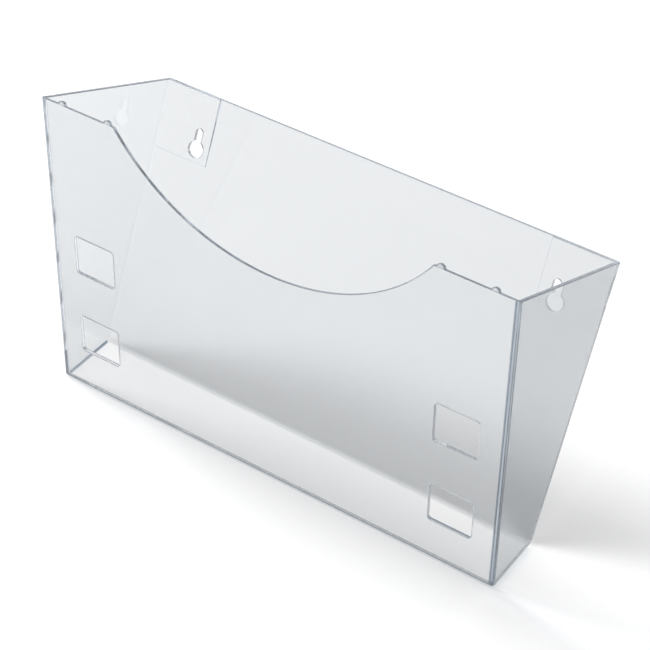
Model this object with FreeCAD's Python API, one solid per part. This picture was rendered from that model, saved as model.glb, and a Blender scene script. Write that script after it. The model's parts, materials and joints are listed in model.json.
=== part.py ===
import FreeCAD, Part
import math
import os

# Clear rack for A4 leaflets and magazines laid landscape, in millimetres: a wedge-shaped pocket,
# open at the top, that hangs by two keyholes in its back. The real rack is one moulding, and each
# solid here is one of its walls, pads or nibs. They meet face to face and don't overlap.
#
# The frame is the rack standing on its floor panel: +X to the right as seen from the front, +Y
# towards the back, +Z up. The origin is the middle of the rack's bounding box, at its base. The
# front panel is upright here, and the back panel leans away from it. On a wall the back panel is
# the upright one.

# Driving dimensions of the pocket. Heights and lengths are along the outer faces, as if every
# corner were sharp.
WIDTH = 315.0
WALL = 2.5
FRONT_HEIGHT = 211.0
FLOOR_DEPTH = 44.0
BACK_LENGTH = 177.0
BACK_LEAN = math.radians(24.4)

# Corner radii. The foot is where the floor meets the front, and the heel where it meets the back.
FOOT_RADIUS = 2.5
HEEL_RADIUS = 7.0
SIDE_RADIUS = 2.0
INNER_FOOT_RADIUS = 1.0
INNER_HEEL_RADIUS = HEEL_RADIUS - WALL
INNER_SIDE_RADIUS = 0.8

# The round dip in the rim of the front panel.
DIP_RADIUS = 127.0
DIP_DEPTH = 56.0

# The keyholes, the windows and the pairs of nibs are all centred on one line up each side.
HANGING_X = 126.0

WINDOW_WIDTH = 28.8
WINDOW_HEIGHT = 27.6
WINDOW_RADIUS = 2.0
WINDOWS_UP = (43.7, 104.8)

NIB_RADIUS = 2.5
NIB_SPREAD = 32.8

# Each hanger pad thickens the back panel round a keyhole, and thins out downwards.
PAD_INNER_X = 116.0
PAD_LENGTH = 44.0
PAD_TOP = 2.0
PAD_FOOT = 0.4
KEYHOLE_UP = 141.2
KEYHOLE_RADIUS = 5.5
SLOT_WIDTH = 5.0
SLOT_TOP = 154.8

CLEAR = 5.0  # how far a cutting solid runs past what it cuts
TINY = 1e-6

# Directions and places that follow from the dimensions.
X = FreeCAD.Vector(1, 0, 0)
Y = FreeCAD.Vector(0, 1, 0)
Z = FreeCAD.Vector(0, 0, 1)
UP_THE_BACK = FreeCAD.Vector(0, math.sin(BACK_LEAN), math.cos(BACK_LEAN))
TO_THE_WALL = FreeCAD.Vector(0, math.cos(BACK_LEAN), -math.sin(BACK_LEAN))
DEPTH = FLOOR_DEPTH + BACK_LENGTH * UP_THE_BACK.y
FOOT = FreeCAD.Vector(0, -DEPTH / 2, 0)
HEEL = FOOT + Y * FLOOR_DEPTH
FRONT_TOP = FOOT + Z * FRONT_HEIGHT
BACK_TOP = HEEL + UP_THE_BACK * BACK_LENGTH
TO_THE_BACK_RIM = (BACK_TOP - FRONT_TOP).normalize()
OUT_OF_THE_RIM = X.cross(TO_THE_BACK_RIM)
INNER_HALF = WIDTH / 2 - WALL
SIDE_START_X = INNER_HALF - INNER_SIDE_RADIUS
FRONT_INNER_Y = FOOT.y + WALL
HEEL_START_Y = HEEL.y - HEEL_RADIUS * math.tan((math.pi / 2 - BACK_LEAN) / 2)


def on_back(x, up, proud=0.0):
    """A point up the back panel's outer face from the heel, or proud of that face on the front's side."""
    return HEEL + X * x + UP_THE_BACK * up - TO_THE_WALL * proud


def face_through(points):
    """A flat face with sharp corners."""
    return Part.Face(Part.makePolygon(points + points[:1]))


def crossing(p, along_p, q, along_q):
    """Where two lines in the YZ plane cross."""
    gap = q - p
    step = X.dot(gap.cross(along_q)) / X.dot(along_p.cross(along_q))
    return p + along_p * step


def prism(points, half_width):
    """A YZ outline made solid, with the same width on each side of the middle."""
    return face_through([p - X * half_width for p in points]).extrude(X * (2 * half_width))


def edges_where(solid, wanted):
    """The edges of a solid for which wanted is true of every corner."""
    return [e for e in solid.Edges if all(wanted(v.Point) for v in e.Vertexes)]


def at(place):
    """A test for points on the line across the rack through a place."""
    return lambda p: abs(p.y - place.y) < TINY and abs(p.z - place.z) < TINY


def wedge(front_y, floor_z, back_shift, rim_rise, half_width, foot_radius, heel_radius, side_radius):
    """A closed wedge with its front, floor and back moved in from the outer faces and its top moved
    out of the rim. Its foot, its heel and the edges of its two ends are rounded, apart from the rim."""
    foot = FreeCAD.Vector(0, front_y, floor_z)
    back = HEEL - TO_THE_WALL * back_shift
    rim = FRONT_TOP + OUT_OF_THE_RIM * rim_rise
    heel = crossing(foot, Y, back, UP_THE_BACK)
    back_top = crossing(back, UP_THE_BACK, rim, TO_THE_BACK_RIM)
    front_top = crossing(foot, Z, rim, TO_THE_BACK_RIM)
    solid = prism([foot, heel, back_top, front_top], half_width)
    solid = solid.makeFillet(foot_radius, edges_where(solid, at(foot)))
    solid = solid.makeFillet(heel_radius, edges_where(solid, at(heel)))
    ends = edges_where(solid, lambda p: abs(abs(p.x) - half_width) < TINY)
    below_rim = [e for e in ends if any((v.Point - rim).dot(OUT_OF_THE_RIM) < -TINY for v in e.Vertexes)]
    across = [e for e in below_rim if abs(e.Vertexes[0].X - e.Vertexes[-1].X) > TINY]
    around = [e for e in below_rim if not any(e.isSame(other) for other in across)]
    return solid.makeFillet(side_radius, around)


def make_dip():
    """What the dip takes out of the front panel: a drum whose axis runs along the slope of the rim."""
    centre = FRONT_TOP + Z * (DIP_RADIUS - DIP_DEPTH) - TO_THE_BACK_RIM * CLEAR
    circle = Part.Face(Part.Wire(Part.makeCircle(DIP_RADIUS, centre, Y)))
    return circle.extrude(TO_THE_BACK_RIM * (3 * CLEAR))


def make_window(x, up):
    """What one window takes out of the front panel: a block with rounded upright corners."""
    size = FreeCAD.Vector(WINDOW_WIDTH, WALL + 2 * CLEAR, WINDOW_HEIGHT)
    corner = FreeCAD.Vector(x, FRONT_INNER_Y - WALL / 2, up) - size * 0.5
    block = Part.makeBox(size.x, size.y, size.z, corner)
    through = [e for e in block.Edges if abs(e.tangentAt(e.FirstParameter).dot(Y)) > 1 - TINY]
    return block.makeFillet(WINDOW_RADIUS, through)


def make_keyhole(x):
    """What one keyhole takes out of the back panel and its pad: a round hole with a slot above it."""
    through = TO_THE_WALL * (WALL + PAD_TOP + 2 * CLEAR)
    proud = WALL + PAD_TOP + CLEAR
    half = SLOT_WIDTH / 2
    slot_end = SLOT_TOP - half
    hole = Part.makeCylinder(KEYHOLE_RADIUS, through.Length, on_back(x, KEYHOLE_UP, proud), through)
    end = Part.makeCylinder(half, through.Length, on_back(x, slot_end, proud), through)
    corners = [
        on_back(x - half, KEYHOLE_UP, proud),
        on_back(x + half, KEYHOLE_UP, proud),
        on_back(x + half, slot_end, proud),
        on_back(x - half, slot_end, proud),
    ]
    return hole.fuse([end, face_through(corners).extrude(through)])


def make_pad(side, cavity):
    """The pad round one keyhole, on the inside of the back panel, out to the side panel. It fills
    its share of the cavity, so it fits the rounded corner between those two panels."""
    foot_up = BACK_LENGTH - PAD_LENGTH
    slope = (PAD_TOP - PAD_FOOT) / PAD_LENGTH
    past_up = BACK_LENGTH + CLEAR
    section = [
        on_back(side * PAD_INNER_X, foot_up, 0),
        on_back(side * PAD_INNER_X, foot_up, WALL + PAD_FOOT),
        on_back(side * PAD_INNER_X, past_up, WALL + PAD_TOP + slope * CLEAR),
        on_back(side * PAD_INNER_X, past_up, 0),
    ]
    block = face_through(section).extrude(X * (side * (WIDTH / 2 - PAD_INNER_X)))
    return block.common(cavity)


def make_nib(x):
    """One half-round nib on the rim of the front panel, as deep as the panel is thick."""
    start = FRONT_TOP + X * x - TO_THE_BACK_RIM * CLEAR
    round_bar = Part.makeCylinder(NIB_RADIUS, 3 * CLEAR, start, TO_THE_BACK_RIM)
    above_the_rim = [
        FRONT_TOP,
        FRONT_TOP + Z * (2 * NIB_RADIUS),
        FRONT_TOP + Z * (2 * NIB_RADIUS) + Y * WALL,
        crossing(FRONT_TOP, TO_THE_BACK_RIM, FRONT_TOP + Y * WALL, Z),
    ]
    return round_bar.common(prism(above_the_rim, WIDTH / 2))


def make_panels(moulding):
    """The walls of the pocket, cut apart. The side panels keep the rounded corners all round them,
    the floor panel keeps the one along its front, and the back panel keeps the heel."""

    def between(low_x, high_x, low_y, high_y):
        corner = FreeCAD.Vector(low_x, low_y, -CLEAR)
        return moulding.common(Part.makeBox(high_x - low_x, high_y - low_y, WIDTH, corner))

    return {
        "left_side_panel": between(-WIDTH, -SIDE_START_X, -WIDTH, WIDTH),
        "right_side_panel": between(SIDE_START_X, WIDTH, -WIDTH, WIDTH),
        "front_panel": between(-SIDE_START_X, SIDE_START_X, -WIDTH, FRONT_INNER_Y),
        "floor_panel": between(-SIDE_START_X, SIDE_START_X, FRONT_INNER_Y, HEEL_START_Y),
        "back_panel": between(-SIDE_START_X, SIDE_START_X, HEEL_START_Y, WIDTH),
    }


def make_rack():
    """Every node's shape by name."""
    outside = wedge(FOOT.y, 0, 0, 0, WIDTH / 2, FOOT_RADIUS, HEEL_RADIUS, SIDE_RADIUS)
    cavity = wedge(
        FRONT_INNER_Y, WALL, WALL, CLEAR, INNER_HALF,
        INNER_FOOT_RADIUS, INNER_HEEL_RADIUS, INNER_SIDE_RADIUS,
    )
    keyholes = [make_keyhole(side * HANGING_X) for side in (-1, 1)]
    windows = [make_window(side * HANGING_X, up) for side in (-1, 1) for up in WINDOWS_UP]
    moulding = outside.cut([cavity, make_dip(), *keyholes, *windows])
    nodes = make_panels(moulding)
    inside_the_rim = outside.common(cavity)
    for name, side, keyhole in zip(("left", "right"), (-1, 1), keyholes):
        nodes[f"{name}_hanger_pad"] = make_pad(side, inside_the_rim).cut(keyhole)
    nibs_x = [side * HANGING_X + half * NIB_SPREAD / 2 for side in (-1, 1) for half in (-1, 1)]
    nodes["rim_nibs"] = Part.makeCompound([make_nib(x) for x in nibs_x])
    return nodes


def main():
    os.makedirs("parts", exist_ok=True)
    for name, shape in make_rack().items():
        shape.exportStep(f"parts/{name}.step")
        box = shape.BoundBox
        print(
            f"{name}: {len(shape.Solids)} solids, {shape.Volume / 1000:.2f} cm3, valid {shape.isValid()}, "
            f"X {box.XMin:.2f} to {box.XMax:.2f}, Y {box.YMin:.2f} to {box.YMax:.2f}, "
            f"Z {box.ZMin:.2f} to {box.ZMax:.2f}"
        )


main()
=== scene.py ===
import json
import math

import bmesh
import bpy
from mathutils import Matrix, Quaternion, Vector
from mathutils.geometry import tessellate_polygon


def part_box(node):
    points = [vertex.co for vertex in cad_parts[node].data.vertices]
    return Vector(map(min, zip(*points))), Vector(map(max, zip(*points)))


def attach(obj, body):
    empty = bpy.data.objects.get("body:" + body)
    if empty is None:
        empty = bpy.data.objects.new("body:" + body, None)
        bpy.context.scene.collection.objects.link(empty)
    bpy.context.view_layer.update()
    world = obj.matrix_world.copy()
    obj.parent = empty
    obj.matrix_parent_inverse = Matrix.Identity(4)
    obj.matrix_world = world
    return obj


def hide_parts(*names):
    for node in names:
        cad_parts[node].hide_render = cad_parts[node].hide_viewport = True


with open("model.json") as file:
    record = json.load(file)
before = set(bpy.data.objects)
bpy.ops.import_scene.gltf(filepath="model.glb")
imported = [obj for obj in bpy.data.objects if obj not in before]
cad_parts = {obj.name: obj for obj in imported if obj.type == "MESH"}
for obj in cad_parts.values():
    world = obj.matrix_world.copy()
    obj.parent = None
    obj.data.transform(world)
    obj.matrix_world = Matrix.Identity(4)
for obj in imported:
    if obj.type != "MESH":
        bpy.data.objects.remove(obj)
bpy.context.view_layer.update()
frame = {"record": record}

# A clear plastic rack for leaflets, in metres, standing on its floor panel. Every wall, pad and nib
# is built here as a closed mesh with softened rims, in the place of its CAD node. The faces where two
# pieces of the one moulding meet carry a look of their own that doesn't bend light, so the walls
# read as one piece of plastic.

MM = 0.001
X, Y, Z = Vector((1, 0, 0)), Vector((0, 1, 0)), Vector((0, 0, 1))

# Places that the CAD nodes give.
FRONT_LOW, FRONT_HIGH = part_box("front_panel")
FLOOR_LOW, FLOOR_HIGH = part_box("floor_panel")
SIDE_LOW, SIDE_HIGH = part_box("right_side_panel")
PAD_LOW, PAD_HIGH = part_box("right_hanger_pad")
FRONT_Y = FRONT_LOW.y
WALL = FRONT_HIGH.y - FRONT_Y
FRONT_HEIGHT = FRONT_HIGH.z
SEAM_X = FRONT_HIGH.x
HALF_WIDTH = SIDE_HIGH.x
HEEL_START_Y = FLOOR_HIGH.y
PAD_INNER_X = PAD_LOW.x

# The lean of the back panel is that of the mount on its outer face.
WALL_FACE = next(m for m in frame["record"]["mounts"] if m["name"] == "wall_face")
BACK_LEAN = math.atan2(-WALL_FACE["axis"][2], WALL_FACE["axis"][1])

# Sizes that the boxes don't give, the same as in the CAD.
FOOT_RADIUS = 2.5 * MM
HEEL_RADIUS = 7.0 * MM
SIDE_RADIUS = 2.0 * MM
INNER_FOOT_RADIUS = 1.0 * MM
INNER_HEEL_RADIUS = HEEL_RADIUS - WALL
INNER_SIDE_RADIUS = 0.8 * MM
INNER_HALF = HALF_WIDTH - WALL
BACK_LENGTH = 177.0 * MM
DIP_RADIUS = 127.0 * MM
DIP_DEPTH = 56.0 * MM
HANGING_X = 126.0 * MM
WINDOW_WIDTH = 28.8 * MM
WINDOW_HEIGHT = 27.6 * MM
WINDOW_RADIUS = 2.0 * MM
WINDOWS_UP = (43.7 * MM, 104.8 * MM)
NIB_RADIUS = 2.5 * MM
NIB_SPREAD = 32.8 * MM
PAD_LENGTH = 44.0 * MM
PAD_TOP = 2.0 * MM
PAD_FOOT = 0.4 * MM
KEYHOLE_UP = 141.2 * MM
KEYHOLE_RADIUS = 5.5 * MM
SLOT_WIDTH = 5.0 * MM
SLOT_TOP = 154.8 * MM

# How the edges are softened and how finely curves are cut.
LIP = 0.4 * MM
PAD_LIP = 0.25 * MM
LIP_STEPS = 4
SIDE_STEPS = 8
FOOT_STEPS = 8
HEEL_STEPS = 16
DIP_STEPS = 72
CORNER_STEPS = 6
KEYHOLE_STEPS = 40
NIB_STEPS = 18
WELD = 0.002 * MM
SHARP_FROM = math.radians(35)
NORMAL_WEIGHT = 100

# Directions. A lean is in the YZ plane.
UP_THE_BACK = Vector((0, math.sin(BACK_LEAN), math.cos(BACK_LEAN)))
TO_THE_WALL = Vector((0, math.cos(BACK_LEAN), -math.sin(BACK_LEAN)))
HEEL_TURN = math.pi / 2 - BACK_LEAN
HEEL_Y = HEEL_START_Y + HEEL_RADIUS * math.tan(HEEL_TURN / 2)
HEEL = Vector((0, HEEL_Y, 0))
HEEL_CENTRE = Vector((0, HEEL_START_Y, HEEL_RADIUS))
BACK_TOP = HEEL + UP_THE_BACK * BACK_LENGTH
RIM_SLOPE = (BACK_TOP.z - FRONT_HEIGHT) / (BACK_TOP.y - FRONT_Y)
ALONG_THE_RIM = Vector((0, 1, RIM_SLOPE)).normalized()
ACROSS_THE_FRONT = Vector((0, WALL, WALL * RIM_SLOPE))

# The order of the looks in every piece: the back and the sides, tinted darker as painted shade; the front,
# tinted lighter as painted light; the rims; the edges of the windows and keyholes; the bends; the floor
# panel, tinted clearest as painted light; and the inside of the moulding at a seam.
# The rims are tinted darker, partly as painted shade, and the bends are darkened as painted shade.
SHADED_CLEAR_LOOK, LIT_FRONT_LOOK, RIM_TINT_AND_SHADE_LOOK, CUT_LOOK, SHADED_BEND_LOOK, LIT_BASE_LOOK, SEAM_LOOK = range(7)


def rim_z(y):
    """The height of the rim's plane."""
    return FRONT_HEIGHT + RIM_SLOPE * (y - FRONT_Y)


def on_back(x, up, depth):
    """A point on the back panel, up from the heel, at a depth in from its outer face."""
    return HEEL + X * x + UP_THE_BACK * up - TO_THE_WALL * depth


def rim_up(depth):
    """How far up the back the rim is, at a depth in from the back panel's outer face."""
    start = on_back(0, 0, depth)
    return (rim_z(start.y) - start.z) / (UP_THE_BACK.z - RIM_SLOPE * UP_THE_BACK.y)


def arc(centre, radius, start, end, steps):
    """Points round an arc in the YZ plane; angle 0 is +Y and a quarter turn is +Z."""
    angles = [start + (end - start) * i / steps for i in range(steps + 1)]
    return [centre + Vector((0, math.cos(a), math.sin(a))) * radius for a in angles]


def foot_arc(x, depth, radius):
    centre = Vector((x, FRONT_Y + depth + radius, depth + radius))
    return arc(centre, radius, math.pi, 1.5 * math.pi, FOOT_STEPS)


def heel_arc(x, radius):
    return arc(HEEL_CENTRE + X * x, radius, 1.5 * math.pi, 1.5 * math.pi + HEEL_TURN, HEEL_STEPS)


class Shell:
    """A closed mesh put together from patches that share their edges."""

    def __init__(self):
        self.mesh = bmesh.new()

    def face(self, points, look):
        made = self.mesh.faces.new([self.mesh.verts.new(p) for p in points])
        made.material_index = look

    def strip(self, rows, look, closed=False):
        """Quads between rows of points, each row the same length."""
        following = rows[1:] + rows[:1] if closed else rows[1:]
        for this, after in zip(rows, following):
            for i in range(len(this) - 1):
                self.face([this[i], this[i + 1], after[i + 1], after[i]], look)

    def fill(self, loops, look):
        """A flat face with holes: the first loop is its outline."""
        points = [p for loop in loops for p in loop]
        for corners in tessellate_polygon(loops):
            self.face([points[i] for i in corners], look)

    def weld(self):
        """Joins the patches along their shared edges."""
        bmesh.ops.remove_doubles(self.mesh, verts=self.mesh.verts, dist=WELD)
        bmesh.ops.dissolve_degenerate(self.mesh, edges=self.mesh.edges, dist=WELD / 2)

    def finish(self, name, node):
        """Welds the patches, points every face outwards and puts the piece in its node's place."""
        self.weld()
        bmesh.ops.recalc_face_normals(self.mesh, faces=self.mesh.faces)
        data = bpy.data.meshes.new(name)
        self.mesh.to_mesh(data)
        self.mesh.free()
        data.shade_smooth()
        data.set_sharp_from_angle(angle=SHARP_FROM)
        piece = bpy.data.objects.new(name, data)
        bpy.context.scene.collection.objects.link(piece)
        for look in LOOKS:
            data.materials.append(look)
        weighted = piece.modifiers.new("weighted_normals", "WEIGHTED_NORMAL")
        weighted.keep_sharp = True
        weighted.weight = NORMAL_WEIGHT
        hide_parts(node)
        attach(piece, "root")
        return piece


def into_the_face(points, away, closed):
    """For each point of a line on a flat face, the way into the face with mitred corners. away is the
    face's normal, and the face is on the left of the line as seen against that normal."""
    count = len(points)
    steps = count if closed else count - 1
    turned = []
    for i in range(steps):
        along = (points[(i + 1) % count] - points[i]).normalized()
        turned.append(away.cross(along))
    ways = []
    for i in range(count):
        before = turned[i - 1] if closed or i > 0 else turned[0]
        after = turned[i] if i < steps else turned[-1]
        ways.append((before + after) / (1 + before.dot(after)))
    return ways


def soft_corner(edge, into, across, radius):
    """A quarter round from a face to the edge's own face."""
    turns = [math.pi / 2 * i / LIP_STEPS for i in range(LIP_STEPS + 1)]
    return [
        edge + into * (radius * (1 - math.sin(t))) + across * (radius * (1 - math.cos(t))) for t in turns
    ]


def rim_section(outer, inner, into_outer, into_inner, outer_radius, inner_radius):
    """The line over a rim from one face of a wall to the other, with both its edges softened."""
    across = (inner - outer).normalized()
    start = soft_corner(outer, into_outer, across, outer_radius)
    end = soft_corner(inner, into_inner, -across, inner_radius)
    return start + end[::-1]


def hole_rows(loop, far_loop, away, radius, far_radius):
    """Sections round a hole in a wall, from its loop on one face to its loop on the other. The first
    loop is counter-clockwise on its face, which away leaves."""
    ways = [-way for way in into_the_face(loop, away, True)]
    return [
        rim_section(p, far, way, way, radius, far_radius) for p, far, way in zip(loop, far_loop, ways)
    ]


def firsts(rows):
    return [row[0] for row in rows]


def lasts(rows):
    return [row[-1] for row in rows]


def sideways(points, x):
    """The same YZ points at another x."""
    return [Vector((x, p.y, p.z)) for p in points]


def across_the_rack(shell, section, look):
    """Draws a YZ line from one seam to the other."""
    shell.strip([sideways(section, -SEAM_X), sideways(section, SEAM_X)], look)


def window_loop(x, up):
    """One window's outline on the front panel's outer face."""
    half_width = WINDOW_WIDTH / 2 - WINDOW_RADIUS
    half_height = WINDOW_HEIGHT / 2 - WINDOW_RADIUS
    loop = []
    for corner, (right, above) in enumerate([(1, 1), (-1, 1), (-1, -1), (1, -1)]):
        for step in range(CORNER_STEPS + 1):
            turn = math.pi / 2 * (corner + step / CORNER_STEPS)
            along = x + right * half_width + WINDOW_RADIUS * math.cos(turn)
            height = up + above * half_height + WINDOW_RADIUS * math.sin(turn)
            loop.append(Vector((along, FRONT_Y, height)))
    return loop


def keyhole_outline():
    """A keyhole's outline as (right, up) pairs from the middle of its round hole, counter-clockwise."""
    half = SLOT_WIDTH / 2
    shoulder = math.acos(half / KEYHOLE_RADIUS)
    slot_end = SLOT_TOP - half - KEYHOLE_UP
    outline = []
    for step in range(KEYHOLE_STEPS + 1):
        turn = math.pi - shoulder + (math.pi + 2 * shoulder) * step / KEYHOLE_STEPS
        outline.append((KEYHOLE_RADIUS * math.cos(turn), KEYHOLE_RADIUS * math.sin(turn)))
    for step in range(KEYHOLE_STEPS // 2 + 1):
        turn = math.pi * step / (KEYHOLE_STEPS // 2)
        outline.append((half * math.cos(turn), slot_end + half * math.sin(turn)))
    return outline


def dip_points():
    """The dip in the front panel's outer face, from its right end to its left end."""
    half_turn = math.acos((DIP_RADIUS - DIP_DEPTH) / DIP_RADIUS)
    centre_z = FRONT_HEIGHT + DIP_RADIUS - DIP_DEPTH
    turns = [half_turn * (1 - 2 * i / DIP_STEPS) for i in range(DIP_STEPS + 1)]
    return [
        Vector((DIP_RADIUS * math.sin(t), FRONT_Y, centre_z - DIP_RADIUS * math.cos(t))) for t in turns
    ]


def nib_places():
    """The x of each nib, from right to left."""
    return [side * HANGING_X + half * NIB_SPREAD / 2 for side in (1, -1) for half in (1, -1)]


def front_rim():
    """The front panel's outer rim from right to left, as (point, lip) pairs. There is no lip under a
    nib, because the nib stands flush with both faces of the panel."""
    rim = [(SEAM_X, LIP)]
    for x in nib_places():
        right, left = x + NIB_RADIUS, x - NIB_RADIUS
        rim += [(right + LIP, LIP), (right, 0), (left, 0), (left - LIP, LIP)]
    rim.append((-SEAM_X, LIP))
    points = [(Vector((x, FRONT_Y, FRONT_HEIGHT)), lip) for x, lip in rim]
    dip = [(p, LIP) for p in dip_points()]
    middle = len(points) // 2
    return points[:middle] + dip + points[middle:]


def make_front_panel():
    shell = Shell()
    rim = front_rim()
    ways = into_the_face([p for p, lip in rim], -Y, False)
    rows = [
        rim_section(p, p + ACROSS_THE_FRONT, way, way, lip, lip) for (p, lip), way in zip(rim, ways)
    ]
    for i in range(len(rows) - 1):
        under_a_nib = rim[i][1] == 0 and rim[i + 1][1] == 0
        shell.strip(rows[i : i + 2], SEAM_LOOK if under_a_nib else RIM_TINT_AND_SHADE_LOOK)
    outer, inner = [firsts(rows)], [lasts(rows)]
    for x in (-HANGING_X, HANGING_X):
        for up in WINDOWS_UP:
            loop = window_loop(x, up)
            window = hole_rows(loop, [p + Y * WALL for p in loop], -Y, LIP, LIP)
            shell.strip(window, CUT_LOOK, closed=True)
            outer.append(firsts(window))
            inner.append(lasts(window))
    foot = foot_arc(0, 0, FOOT_RADIUS)
    seam = [Vector((0, FRONT_Y + WALL, 0)), Vector((0, FRONT_Y + WALL, WALL + INNER_FOOT_RADIUS))]
    outer[0] += [Vector((side * SEAM_X, foot[0].y, foot[0].z)) for side in (-1, 1)]
    inner[0] += [Vector((side * SEAM_X, seam[1].y, seam[1].z)) for side in (-1, 1)]
    shell.fill(outer, LIT_FRONT_LOOK)
    shell.fill(inner, LIT_FRONT_LOOK)
    across_the_rack(shell, foot, SHADED_BEND_LOOK)
    across_the_rack(shell, seam, SEAM_LOOK)
    for row, x in ((rows[0], SEAM_X), (rows[-1], -SEAM_X)):
        shell.fill([row + sideways([seam[1], *foot[::-1]], x)], SEAM_LOOK)
    return shell.finish("front_panel_clear", "front_panel")


def make_floor_panel():
    shell = Shell()
    foot = foot_arc(0, WALL, INNER_FOOT_RADIUS)
    rear = Vector((0, HEEL_START_Y, 0))
    under_foot = Vector((0, FRONT_Y + WALL, 0))
    across_the_rack(shell, [under_foot, foot[0]], SEAM_LOOK)
    across_the_rack(shell, [*foot, rear + Z * WALL], LIT_BASE_LOOK)
    across_the_rack(shell, [rear + Z * WALL, rear], SEAM_LOOK)
    across_the_rack(shell, [rear, under_foot], LIT_BASE_LOOK)
    for x in (-SEAM_X, SEAM_X):
        shell.fill([sideways([under_foot, *foot, rear + Z * WALL, rear], x)], SEAM_LOOK)
    return shell.finish("floor_panel_clear", "floor_panel")


def pad_foot_up():
    return BACK_LENGTH - PAD_LENGTH


def make_back_panel():
    shell = Shell()
    beside_pad = PAD_INNER_X - LIP
    right_stations = [(beside_pad, LIP), (PAD_INNER_X, 0), (SEAM_X, 0)]
    stations = [(-x, lip) for x, lip in right_stations[::-1]] + right_stations
    rows = []
    for x, lip in stations:
        outer, inner = on_back(x, rim_up(0), 0), on_back(x, rim_up(WALL), WALL)
        rows.append(rim_section(outer, inner, -UP_THE_BACK, -UP_THE_BACK, LIP, lip))
    shell.strip(rows, RIM_TINT_AND_SHADE_LOOK)
    heel, inner_heel = heel_arc(0, HEEL_RADIUS), heel_arc(0, INNER_HEEL_RADIUS)
    across_the_rack(shell, heel, SHADED_CLEAR_LOOK)
    across_the_rack(shell, inner_heel, SHADED_CLEAR_LOOK)
    across_the_rack(shell, [heel[0], inner_heel[0]], SEAM_LOOK)
    outer = [firsts(rows) + [Vector((x, heel[-1].y, heel[-1].z)) for x in (SEAM_X, -SEAM_X)]]
    foot_up = pad_foot_up()
    notch = [on_back(PAD_INNER_X, foot_up, WALL), on_back(SEAM_X, foot_up, WALL)]
    far_notch = [Vector((-p.x, p.y, p.z)) for p in notch[::-1]]
    low = [Vector((x, inner_heel[-1].y, inner_heel[-1].z)) for x in (SEAM_X, -SEAM_X)]
    shell.fill([lasts(rows[1:-1]) + notch + low + far_notch], SHADED_CLEAR_LOOK)
    for side, ends in ((1, rows[-2:]), (-1, rows[:2])):
        x = side * HANGING_X
        loop = [on_back(x - right, KEYHOLE_UP + up, 0) for right, up in keyhole_outline()]
        far_loop = [p - TO_THE_WALL * WALL for p in loop]
        keyhole = hole_rows(loop, far_loop, TO_THE_WALL, LIP, 0)
        shell.strip(keyhole, CUT_LOOK, closed=True)
        outer.append(firsts(keyhole))
        corners = notch[::-1] if side > 0 else far_notch[::-1]
        shell.fill([lasts(ends) + corners, lasts(keyhole)], SEAM_LOOK)
    shell.fill(outer, SHADED_CLEAR_LOOK)
    for row, x in ((rows[0], -SEAM_X), (rows[-1], SEAM_X)):
        inside = sideways([notch[0], *inner_heel[::-1]], x)
        shell.fill([sideways(heel, x) + row + inside], SEAM_LOOK)
    return shell.finish("back_panel_clear", "back_panel")


def corner_rows(half_width, depth, radius):
    """(x, depth) pairs round the corner between a panel and the side, from the panel to the side."""
    turns = [math.pi / 2 * i / SIDE_STEPS for i in range(SIDE_STEPS + 1)]
    return [
        (half_width - radius + radius * math.sin(t), depth + radius * (1 - math.cos(t))) for t in turns
    ]


def on_front(x, depth):
    """A point on the rim above the front panel, at a depth in from its outer face."""
    return Vector((x, FRONT_Y + depth, rim_z(FRONT_Y + depth)))


def on_back_rim(x, depth):
    return on_back(x, rim_up(depth), depth)


def pad_thickness(up):
    return PAD_FOOT + (PAD_TOP - PAD_FOOT) * (up - pad_foot_up()) / PAD_LENGTH


def mark_pad_contact(shell):
    """Cuts the inside of a side panel along the pad's outline and marks what the pad covers."""
    ramp_foot = on_back(0, pad_foot_up(), WALL + PAD_FOOT)
    ramp_top = on_back(0, BACK_LENGTH, WALL + PAD_TOP)
    out_of_ramp = X.cross(ramp_top - ramp_foot).normalized()

    def on_the_inside(point):
        return point.x < INNER_HALF + WELD and (HEEL - point).dot(TO_THE_WALL) > WALL - WELD

    def inside(face):
        return all(on_the_inside(v.co) for v in face.verts)

    def under_the_ramp(face):
        return inside(face) and (face.calc_center_median() - ramp_foot).dot(out_of_ramp) < 0

    for wanted, normal in ((inside, out_of_ramp), (under_the_ramp, UP_THE_BACK)):
        faces = [f for f in shell.mesh.faces if wanted(f)]
        edges = {e for f in faces for e in f.edges}
        verts = {v for f in faces for v in f.verts}
        bmesh.ops.bisect_plane(
            shell.mesh, geom=[*faces, *edges, *verts], plane_co=ramp_foot, plane_no=normal, dist=WELD
        )
    for face in shell.mesh.faces:
        high = (face.calc_center_median() - ramp_foot).dot(UP_THE_BACK) > 0
        if high and face.material_index in (SHADED_CLEAR_LOOK, SHADED_BEND_LOOK) and under_the_ramp(face):
            face.material_index = SEAM_LOOK


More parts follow.
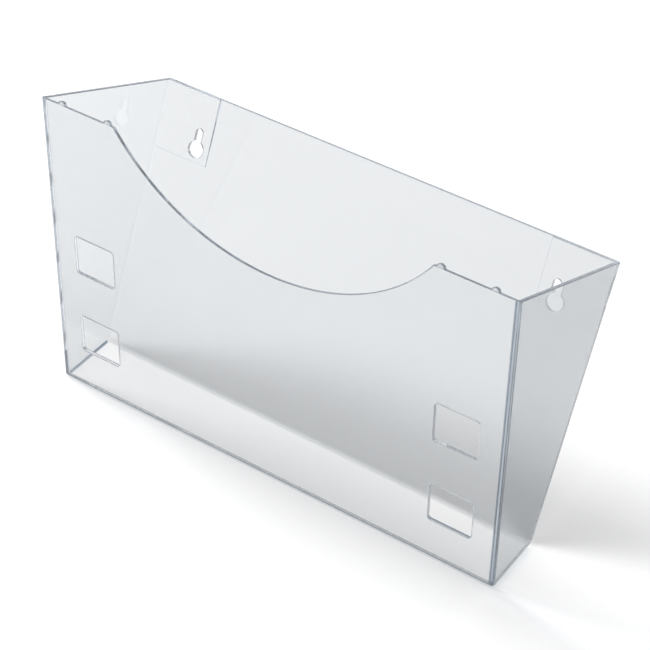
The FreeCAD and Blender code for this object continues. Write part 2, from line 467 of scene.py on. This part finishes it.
def make_side_panel(name, side):
    """One side with the corners round it. It is built as the right one and turned over for the left."""
    shell = Shell()
    outer = [(SEAM_X, 0.0)] + corner_rows(HALF_WIDTH, 0, SIDE_RADIUS)
    inner = [(SEAM_X, WALL)] + corner_rows(INNER_HALF, WALL, INNER_SIDE_RADIUS)
    front = [rim_section(on_front(*o), on_front(*i), -Z, -Z, LIP, LIP) for o, i in zip(outer, inner)]
    back = [
        rim_section(on_back_rim(*o), on_back_rim(*i), -UP_THE_BACK, -UP_THE_BACK, LIP, 0)
        for o, i in zip(outer, inner)
    ]
    down = X.cross(ALONG_THE_RIM) * -1
    beside_pad = []
    for depth, lip in ((WALL + PAD_TOP + LIP, LIP), (WALL + PAD_TOP, 0)):
        edge, inner_edge = on_back_rim(HALF_WIDTH, depth), on_back_rim(INNER_HALF, depth)
        beside_pad.append(rim_section(edge, inner_edge, down, down, LIP, lip))
    shell.strip(front + beside_pad + back[::-1], RIM_TINT_AND_SHADE_LOOK)

    skins = []
    for corners, at, base, foot_radius, heel_radius in (
        (outer, 0, 0, FOOT_RADIUS, HEEL_RADIUS),
        (inner, -1, WALL, INNER_FOOT_RADIUS, INNER_HEEL_RADIUS),
    ):
        skin = []
        for (x, depth), front_row, back_row in zip(corners, front, back):
            shrink = depth - base
            foot = foot_arc(x, depth, foot_radius - shrink)
            skin.append([front_row[at], *foot, *heel_arc(x, heel_radius - shrink), back_row[at]])
        heel_start = FOOT_STEPS + 3
        shell.strip([line[:heel_start] for line in skin], SHADED_BEND_LOOK)
        shell.strip([line[heel_start - 1 :] for line in skin], SHADED_CLEAR_LOOK)
        shell.fill([skin[-1] + [row[at] for row in beside_pad[::-1]]], SHADED_CLEAR_LOOK)
        skins.append(skin[0])
    seam = skins[0][:-1] + back[0] + skins[1][-2:0:-1] + front[0][::-1][:-1]
    shell.fill([seam], SEAM_LOOK)
    shell.weld()
    mark_pad_contact(shell)
    if side < 0:
        bmesh.ops.scale(shell.mesh, vec=(-1, 1, 1), verts=shell.mesh.verts)
    return shell.finish(f"{name}_clear", name)


def contact_section(thickness, place):
    """The line where a pad meets the side panel, from the pad's face to the back panel, round the
    corner between those panels. place turns an x and a depth into a point."""
    start_x = INNER_HALF - INNER_SIDE_RADIUS
    reach = min(thickness, INNER_SIDE_RADIUS)
    first_turn = math.acos(1 - reach / INNER_SIDE_RADIUS)
    section = [place(start_x + INNER_SIDE_RADIUS * math.sin(first_turn), WALL + thickness)]
    points = 2 * LIP_STEPS + 1
    for i in range(points):
        turn = first_turn * (1 - i / (points - 1))
        along = start_x + INNER_SIDE_RADIUS * math.sin(turn)
        section.append(place(along, WALL + INNER_SIDE_RADIUS * (1 - math.cos(turn))))
    return section


def make_pad(name, side):
    """The thickening round one keyhole, built as the right one and turned over for the left."""
    shell = Shell()
    foot_up = pad_foot_up()
    growth = (PAD_TOP - PAD_FOOT) / PAD_LENGTH
    drop = (rim_up(WALL) - rim_up(0)) / WALL
    top_up = (rim_up(WALL + PAD_FOOT) - drop * growth * foot_up) / (1 - drop * growth)
    inner_x, outer_x = PAD_INNER_X, SEAM_X - LIP

    def on_pad(x, up):
        return on_back(x, up, WALL + pad_thickness(up))

    def against_back(x, up):
        return on_back(x, up, WALL)

    def edge(x, up, far_up, into):
        return rim_section(on_pad(x, up), against_back(x, far_up), into, into, PAD_LIP, 0)

    rim_far = rim_up(WALL)
    up_the_ramp = (on_pad(0, top_up) - on_pad(0, foot_up)).normalized()
    rows = [
        edge(inner_x, foot_up, foot_up, X + up_the_ramp),
        edge(outer_x, foot_up, foot_up, up_the_ramp),
        contact_section(PAD_FOOT, lambda x, depth: on_back(x, foot_up, depth)),
        contact_section(pad_thickness(top_up), on_back_rim),
        edge(outer_x, top_up, rim_far, -up_the_ramp),
        edge(inner_x, top_up, rim_far, X - up_the_ramp),
    ]
    for i, look in enumerate([RIM_TINT_AND_SHADE_LOOK, RIM_TINT_AND_SHADE_LOOK, SEAM_LOOK, RIM_TINT_AND_SHADE_LOOK, RIM_TINT_AND_SHADE_LOOK, RIM_TINT_AND_SHADE_LOOK]):
        shell.strip([rows[i], rows[(i + 1) % len(rows)]], look)
    outline = [(HANGING_X + right, KEYHOLE_UP + up) for right, up in keyhole_outline()]
    loop = [on_pad(x, up) for x, up in outline]
    keyhole = hole_rows(loop, [against_back(x, up) for x, up in outline], -TO_THE_WALL, PAD_LIP, 0)
    shell.strip(keyhole, CUT_LOOK, closed=True)
    shell.fill([firsts(rows), firsts(keyhole)], SHADED_CLEAR_LOOK)
    shell.fill([lasts(rows), lasts(keyhole)], SEAM_LOOK)
    if side < 0:
        bmesh.ops.scale(shell.mesh, vec=(-1, 1, 1), verts=shell.mesh.verts)
    return shell.finish(f"{name}_clear", name)


def make_nibs():
    shell = Shell()
    height = NIB_RADIUS * math.hypot(1, RIM_SLOPE)
    for x in nib_places():
        turns = [math.pi * i / NIB_STEPS for i in range(NIB_STEPS + 1)]
        bow = [
            Vector((x + NIB_RADIUS * math.cos(t), FRONT_Y, FRONT_HEIGHT + height * math.sin(t)))
            for t in turns
        ]
        ways = into_the_face(bow, -Y, False)
        lips = [0] + [LIP] * (NIB_STEPS - 1) + [0]
        rows = [
            rim_section(p, p + ACROSS_THE_FRONT, way, way, lip, lip) for p, way, lip in zip(bow, ways, lips)
        ]
        shell.strip(rows, RIM_TINT_AND_SHADE_LOOK)
        shell.fill([firsts(rows)], SHADED_CLEAR_LOOK)
        shell.fill([lasts(rows)], SHADED_CLEAR_LOOK)
        shell.face([rows[0][0], rows[0][-1], rows[-1][-1], rows[-1][0]], SEAM_LOOK)
    return shell.finish("rim_nibs_clear", "rim_nibs")


# Materials.

PLASTIC_IOR = 1.57
INSIDE_TINT = (0.97, 0.975, 0.98)
HAIRLINE_SCALE, HAIRLINE_DETAIL = 140.0, 4.0
WAVE_SCALE = 18.0
WAVE_STRENGTH = 0.15
WAVE_DEPTH = 0.1 * MM

# Where between facing (0) and edge-on (1) a wall's tint deepens.
ASLANT_START, ASLANT_END = 0.35, 0.8

# Where between facing and edge-on a face starts to hold back the light on the table, and what it
# still lets through when edge-on.
GLANCE_START, GLANCE_END, GLANCE_SHARE = 0.5, 0.65, 0.57

NOISE_LOW, NOISE_HIGH = 0.3, 0.7
EVENLY = 0.5

# The least and the most roughness of each kind of surface.
WALL_POLISH = (0.0, 0.03)
RIM_POLISH = (0.02, 0.08)
CUT_POLISH = (0.02, 0.1)
BEND_POLISH = (0.02, 0.06)

NO_SHADE = (1, 1, 1)


def new_material(name):
    material = bpy.data.materials.new(name)
    material.use_nodes = True
    nodes, links = material.node_tree.nodes, material.node_tree.links
    return material, nodes, links, nodes["Principled BSDF"]


def noise(nodes, links, place, scale, detail=2.0):
    texture = nodes.new("ShaderNodeTexNoise")
    texture.inputs["Scale"].default_value = scale
    texture.inputs["Detail"].default_value = detail
    links.new(place.outputs["Object"], texture.inputs["Vector"])
    return texture


def ranged(nodes, links, source, low, high):
    """The noise's usual span of values, stretched from low to high."""
    span = nodes.new("ShaderNodeMapRange")
    span.inputs["From Min"].default_value = NOISE_LOW
    span.inputs["From Max"].default_value = NOISE_HIGH
    span.inputs["To Min"].default_value = low
    span.inputs["To Max"].default_value = high
    links.new(source, span.inputs["Value"])
    return span.outputs["Result"]


def blended(nodes, links, factor, first, second):
    """A colour between two colours."""
    mix = nodes.new("ShaderNodeMix")
    mix.data_type = "RGBA"
    links.new(factor, mix.inputs["Factor"])
    mix.inputs["A"].default_value = (*first, 1)
    mix.inputs["B"].default_value = (*second, 1)
    return mix.outputs["Result"]


def bumpy(nodes, links, height, strength, depth, shader):
    bump = nodes.new("ShaderNodeBump")
    bump.inputs["Strength"].default_value = strength
    bump.inputs["Distance"].default_value = depth
    links.new(height, bump.inputs["Height"])
    links.new(bump.outputs["Normal"], shader.inputs["Normal"])


def mixed(nodes, links, factor, first, second):
    mix = nodes.new("ShaderNodeMixShader")
    links.new(factor, mix.inputs["Fac"])
    links.new(first, mix.inputs[1])
    links.new(second, mix.inputs[2])
    return mix.outputs["Shader"]


def edge_on(nodes, links, start, end):
    """0 on a face seen straight on, rising to 1 on a face seen nearly edge-on."""
    facing = nodes.new("ShaderNodeLayerWeight")
    facing.inputs["Blend"].default_value = EVENLY
    share = nodes.new("ShaderNodeMapRange")
    share.interpolation_type = "SMOOTHSTEP"
    share.inputs["From Min"].default_value = start
    share.inputs["From Max"].default_value = end
    links.new(facing.outputs["Facing"], share.inputs["Value"])
    return share.outputs["Result"]


def light_let_through(nodes, links, colour):
    """What a face lets through of the light that falls on the table: less of it at a glancing angle."""
    glance = edge_on(nodes, links, GLANCE_START, GLANCE_END)
    held_back = [GLANCE_SHARE * c for c in colour]
    through = nodes.new("ShaderNodeBsdfTransparent")
    links.new(blended(nodes, links, glance, colour, held_back), through.inputs["Color"])
    return through.outputs["BSDF"]


def clear_plastic(name, tint, deep_tint, shade, polish):
    """Moulded clear plastic: a slow waviness in its faces and a fine unevenness in its polish. Its tint
    deepens where it is seen aslant, through more plastic. It bends what is seen through it, and lets
    lamps light what is behind it with soft, even shadows."""
    material, nodes, links, plastic = new_material(name)
    aslant = edge_on(nodes, links, ASLANT_START, ASLANT_END)
    links.new(blended(nodes, links, aslant, tint, deep_tint), plastic.inputs["Base Color"])
    plastic.inputs["Specular Tint"].default_value = (*INSIDE_TINT, 1)
    plastic.inputs["Transmission Weight"].default_value = 1.0
    plastic.inputs["IOR"].default_value = PLASTIC_IOR
    place = nodes.new("ShaderNodeTexCoord")
    hairlines = noise(nodes, links, place, HAIRLINE_SCALE, HAIRLINE_DETAIL)
    links.new(ranged(nodes, links, hairlines.outputs["Fac"], *polish), plastic.inputs["Roughness"])
    waves = noise(nodes, links, place, WAVE_SCALE)
    bumpy(nodes, links, waves.outputs["Fac"], WAVE_STRENGTH, WAVE_DEPTH, plastic)
    rays = nodes.new("ShaderNodeLightPath")
    through = light_let_through(nodes, links, shade)
    shader = mixed(nodes, links, rays.outputs["Is Shadow Ray"], plastic.outputs["BSDF"], through)
    shader = mixed(nodes, links, rays.outputs["Is Diffuse Ray"], shader, through)
    links.new(shader, nodes["Material Output"].inputs["Surface"])
    return material


def seam():
    """The inside of the moulding where two pieces meet. Light goes straight through."""
    material, nodes, links, plastic = new_material("inside_the_moulding")
    plastic.inputs["Alpha"].default_value = 0.0
    return material


# In the order of the looks above: each one's name, tint, tint aslant, shade on the table and polish.
LOOKS = [
    # Painted shade: the back and the sides get a darker tint than the front and the floor panel of the same
    # plastic.
    clear_plastic("clear_plastic", (0.75, 0.765, 0.775), (0.4, 0.43, 0.45), NO_SHADE, WALL_POLISH),
    # Painted light: the front gets a lighter tint than the back and the sides.
    clear_plastic("clear_plastic_front_painted_light", (0.885, 0.895, 0.9), (0.47, 0.5, 0.52), NO_SHADE, WALL_POLISH),
    # Rims: a dark slate tint, partly the colour of the plastic seen along its length and partly painted shade
    # for the dark lines at its edges.
    clear_plastic("clear_plastic_rim_tint_and_shade", (0.3, 0.36, 0.42), (0.27, 0.32, 0.38), (0.8, 0.83, 0.86), RIM_POLISH),
    clear_plastic("clear_plastic_cut", (0.8, 0.83, 0.86), (0.7, 0.74, 0.78), (0.9, 0.92, 0.94), CUT_POLISH),
    # Bends: darkened well below the walls' tint, as painted shade where the moulding turns.
    clear_plastic("clear_plastic_bend_painted_shade", (0.24, 0.29, 0.35), (0.4, 0.45, 0.5), (0.85, 0.88, 0.9), BEND_POLISH),
    # Painted light: the floor panel is left clear, lighter than every other wall of the same plastic.
    clear_plastic("clear_plastic_base_painted_light", (1, 1, 1), (0.95, 0.96, 0.97), NO_SHADE, WALL_POLISH),
    seam(),
]

make_front_panel()
make_floor_panel()
make_back_panel()
make_side_panel("left_side_panel", -1)
make_side_panel("right_side_panel", 1)
make_pad("left_hanger_pad", -1)
make_pad("right_hanger_pad", 1)
make_nibs()


# The floor, the lights and the camera.

FLOOR_REACH = 3.0
FLOOR_GAP = 0.3 * MM
PAPER_SHADES = ((0.89, 0.89, 0.89), (0.91, 0.91, 0.91))
PAPER_ROUGHNESS = (0.8, 0.95)
PAPER_GLOSS = 0.1
FIBRE_SCALE, FIBRE_DETAIL = 260.0, 4.0
GRAIN_STRENGTH = 0.05
GRAIN_DEPTH = 0.1 * MM

VIEW_AZIMUTH = math.radians(33.8)
VIEW_ELEVATION = math.radians(40.2)
VIEW_ROLL = math.radians(1.12)
VIEW_AIM = Vector((6.0, -8.7, 87.5)) * MM
VIEW_DISTANCE = 1.224
LENS = 115.61
SENSOR = 36.0

LIGHT_BOUNCES = 160
CLEAR_CROSSINGS = 64


def pale_paper():
    material, nodes, links, paper = new_material("pale_floor")
    place = nodes.new("ShaderNodeTexCoord")
    fibres = noise(nodes, links, place, FIBRE_SCALE, FIBRE_DETAIL).outputs["Fac"]
    links.new(blended(nodes, links, fibres, *PAPER_SHADES), paper.inputs["Base Color"])
    links.new(ranged(nodes, links, fibres, *PAPER_ROUGHNESS), paper.inputs["Roughness"])
    paper.inputs["Specular IOR Level"].default_value = PAPER_GLOSS
    bumpy(nodes, links, fibres, GRAIN_STRENGTH, GRAIN_DEPTH, paper)
    return material


def make_floor():
    """A sheet of paper, just clear of the rack so that their faces don't coincide."""
    mesh = bmesh.new()
    corners = ((-1, -1), (1, -1), (1, 1), (-1, 1))
    mesh.faces.new([mesh.verts.new((x * FLOOR_REACH, y * FLOOR_REACH, -FLOOR_GAP)) for x, y in corners])
    data = bpy.data.meshes.new("floor")
    mesh.to_mesh(data)
    mesh.free()
    data.materials.append(pale_paper())
    floor = bpy.data.objects.new("floor", data)
    bpy.context.scene.collection.objects.link(floor)


def softbox(name, place, target, width, height, power):
    """A lamp that lights the scene but isn't seen in the plastic or through it."""
    light = bpy.data.lights.new(name, "AREA")
    light.shape = "RECTANGLE"
    light.size, light.size_y = width, height
    light.energy = power
    lamp = bpy.data.objects.new(name, light)
    lamp.location = place
    lamp.visible_glossy = lamp.visible_transmission = False
    lamp.rotation_euler = (Vector(target) - Vector(place)).to_track_quat("-Z", "Y").to_euler()
    bpy.context.scene.collection.objects.link(lamp)


def make_world(colour, strength):
    world = bpy.data.worlds.new("studio")
    world.use_nodes = True
    background = world.node_tree.nodes["Background"]
    background.inputs["Color"].default_value = (*colour, 1)
    background.inputs["Strength"].default_value = strength
    bpy.context.scene.world = world


def make_camera():
    toward = Vector((
        -math.sin(VIEW_AZIMUTH) * math.cos(VIEW_ELEVATION),
        math.cos(VIEW_AZIMUTH) * math.cos(VIEW_ELEVATION),
        -math.sin(VIEW_ELEVATION),
    ))
    data = bpy.data.cameras.new("camera")
    data.sensor_width = SENSOR
    data.lens = LENS
    camera = bpy.data.objects.new("camera", data)
    camera.location = VIEW_AIM - toward * VIEW_DISTANCE
    camera.rotation_mode = "QUATERNION"
    camera.rotation_quaternion = toward.to_track_quat("-Z", "Y") @ Quaternion((0, 0, 1), VIEW_ROLL)
    bpy.context.scene.collection.objects.link(camera)
    bpy.context.scene.camera = camera


make_floor()
softbox("key", place=(-3.3, 0.0, 3.4), target=(0, 0, 0.05), width=1.7, height=2.4, power=218)
softbox("overhead", place=(0.4, -0.6, 4.0), target=(0, 0, 0), width=4.0, height=4.0, power=12)
make_world(colour=(0.98, 0.985, 1.0), strength=0.56)
make_camera()
bpy.context.scene.view_settings.view_transform = "Standard"

# Light runs a long way inside clear walls before it leaves them.
paths = bpy.context.scene.cycles
paths.max_bounces = paths.glossy_bounces = paths.transmission_bounces = LIGHT_BOUNCES
paths.transparent_max_bounces = CLEAR_CROSSINGS
